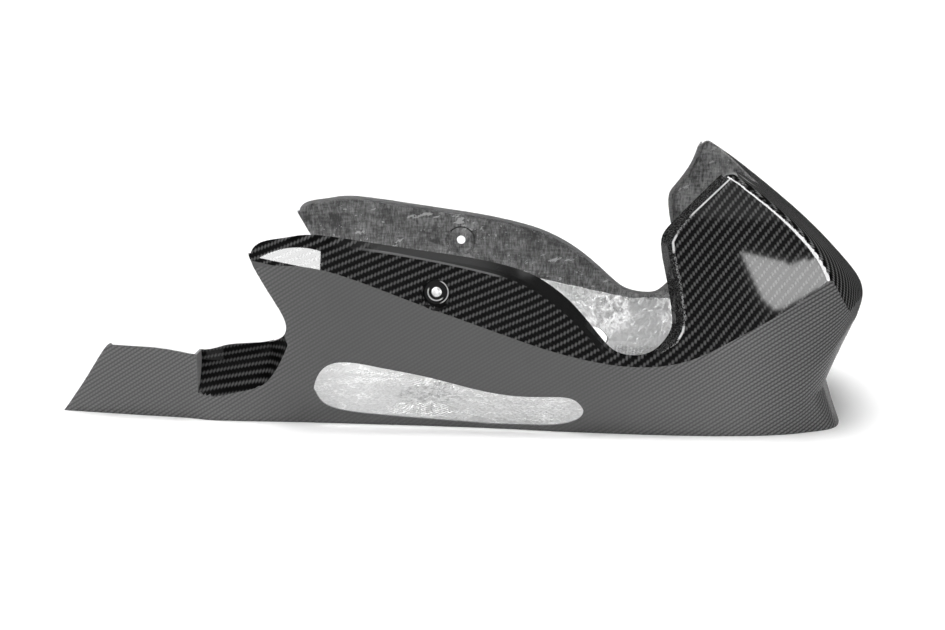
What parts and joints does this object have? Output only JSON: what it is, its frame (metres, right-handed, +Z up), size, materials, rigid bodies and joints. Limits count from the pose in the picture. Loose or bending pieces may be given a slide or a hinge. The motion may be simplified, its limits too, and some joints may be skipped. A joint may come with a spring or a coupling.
{
  "type": "motorcycle belly pan",
  "caption": "Carbon fibre belly pan trough with raked side wings, a pointed bow wall, long side slots, a rear scoop and a reflective heat lining inside.",
  "frame": {"origin": "middle of the trough's flat floor, on its underside, at rest on the ground", "axes": "+X to the front of the motorcycle, +Y to its left, +Z up; the plane Y = 0 is the middle of the trough"},
  "size_m": [0.655, 0.2892, 0.2052],
  "materials": {
    "carbon_laminate": "clear-coated woven carbon laminate, resin-rough inside",
    "heat_foil": "bright wrinkled foil"
  },
  "bodies": {
    "root": {"pan_shell": "carbon_laminate", "heat_foil": "heat_foil"}
  },
  "joints": []
}
